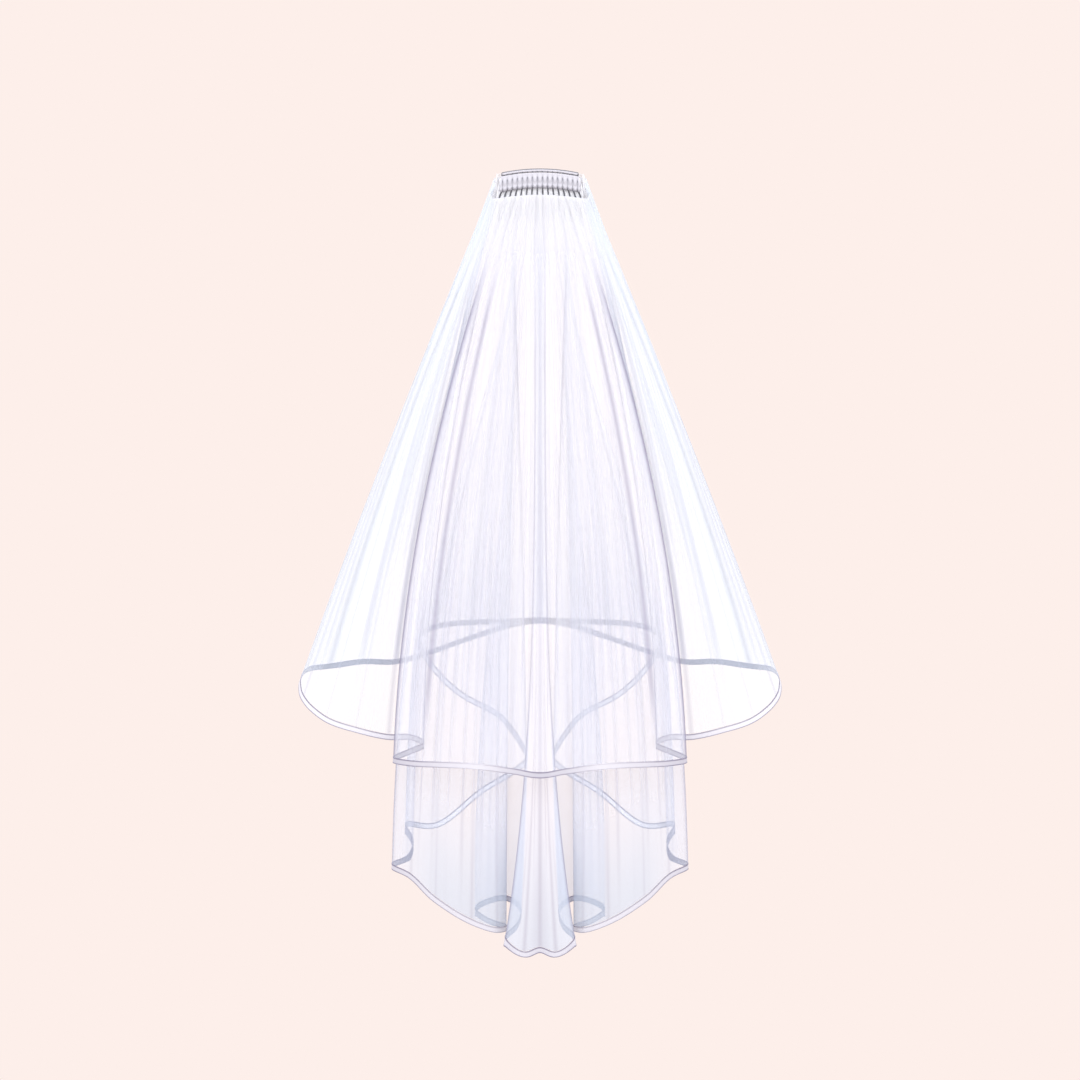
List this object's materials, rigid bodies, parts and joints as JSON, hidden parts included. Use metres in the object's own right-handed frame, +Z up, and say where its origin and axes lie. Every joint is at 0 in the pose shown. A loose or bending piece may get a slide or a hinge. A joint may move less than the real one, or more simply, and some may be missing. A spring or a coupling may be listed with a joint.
{
  "type": "two-tier wedding veil on a hair comb",
  "caption": "Sheer tulle veil in two gathered tiers with satin ribbon hems, hanging hollow from a hair comb as it is worn.",
  "frame": {"origin": "under the middle of the comb's rail, where the comb is pushed into the hair", "axes": "+Z up along the hanging length, +X along the comb, -Y the outer side at the wearer's back"},
  "size_m": [0.49, 0.2218, 0.7712],
  "materials": {
    "tulle": "sheer white net, soft",
    "satin_ribbon": "satin",
    "comb_metal": "bright wire",
    "binding_thread": "wrapped thread over gathered net"
  },
  "bodies": {
    "root": {"comb": "comb_metal", "comb_binding": "binding_thread", "tier_lower": "tulle", "ribbon_lower": "satin_ribbon", "tier_upper": "tulle", "ribbon_upper": "satin_ribbon"}
  },
  "joints": []
}
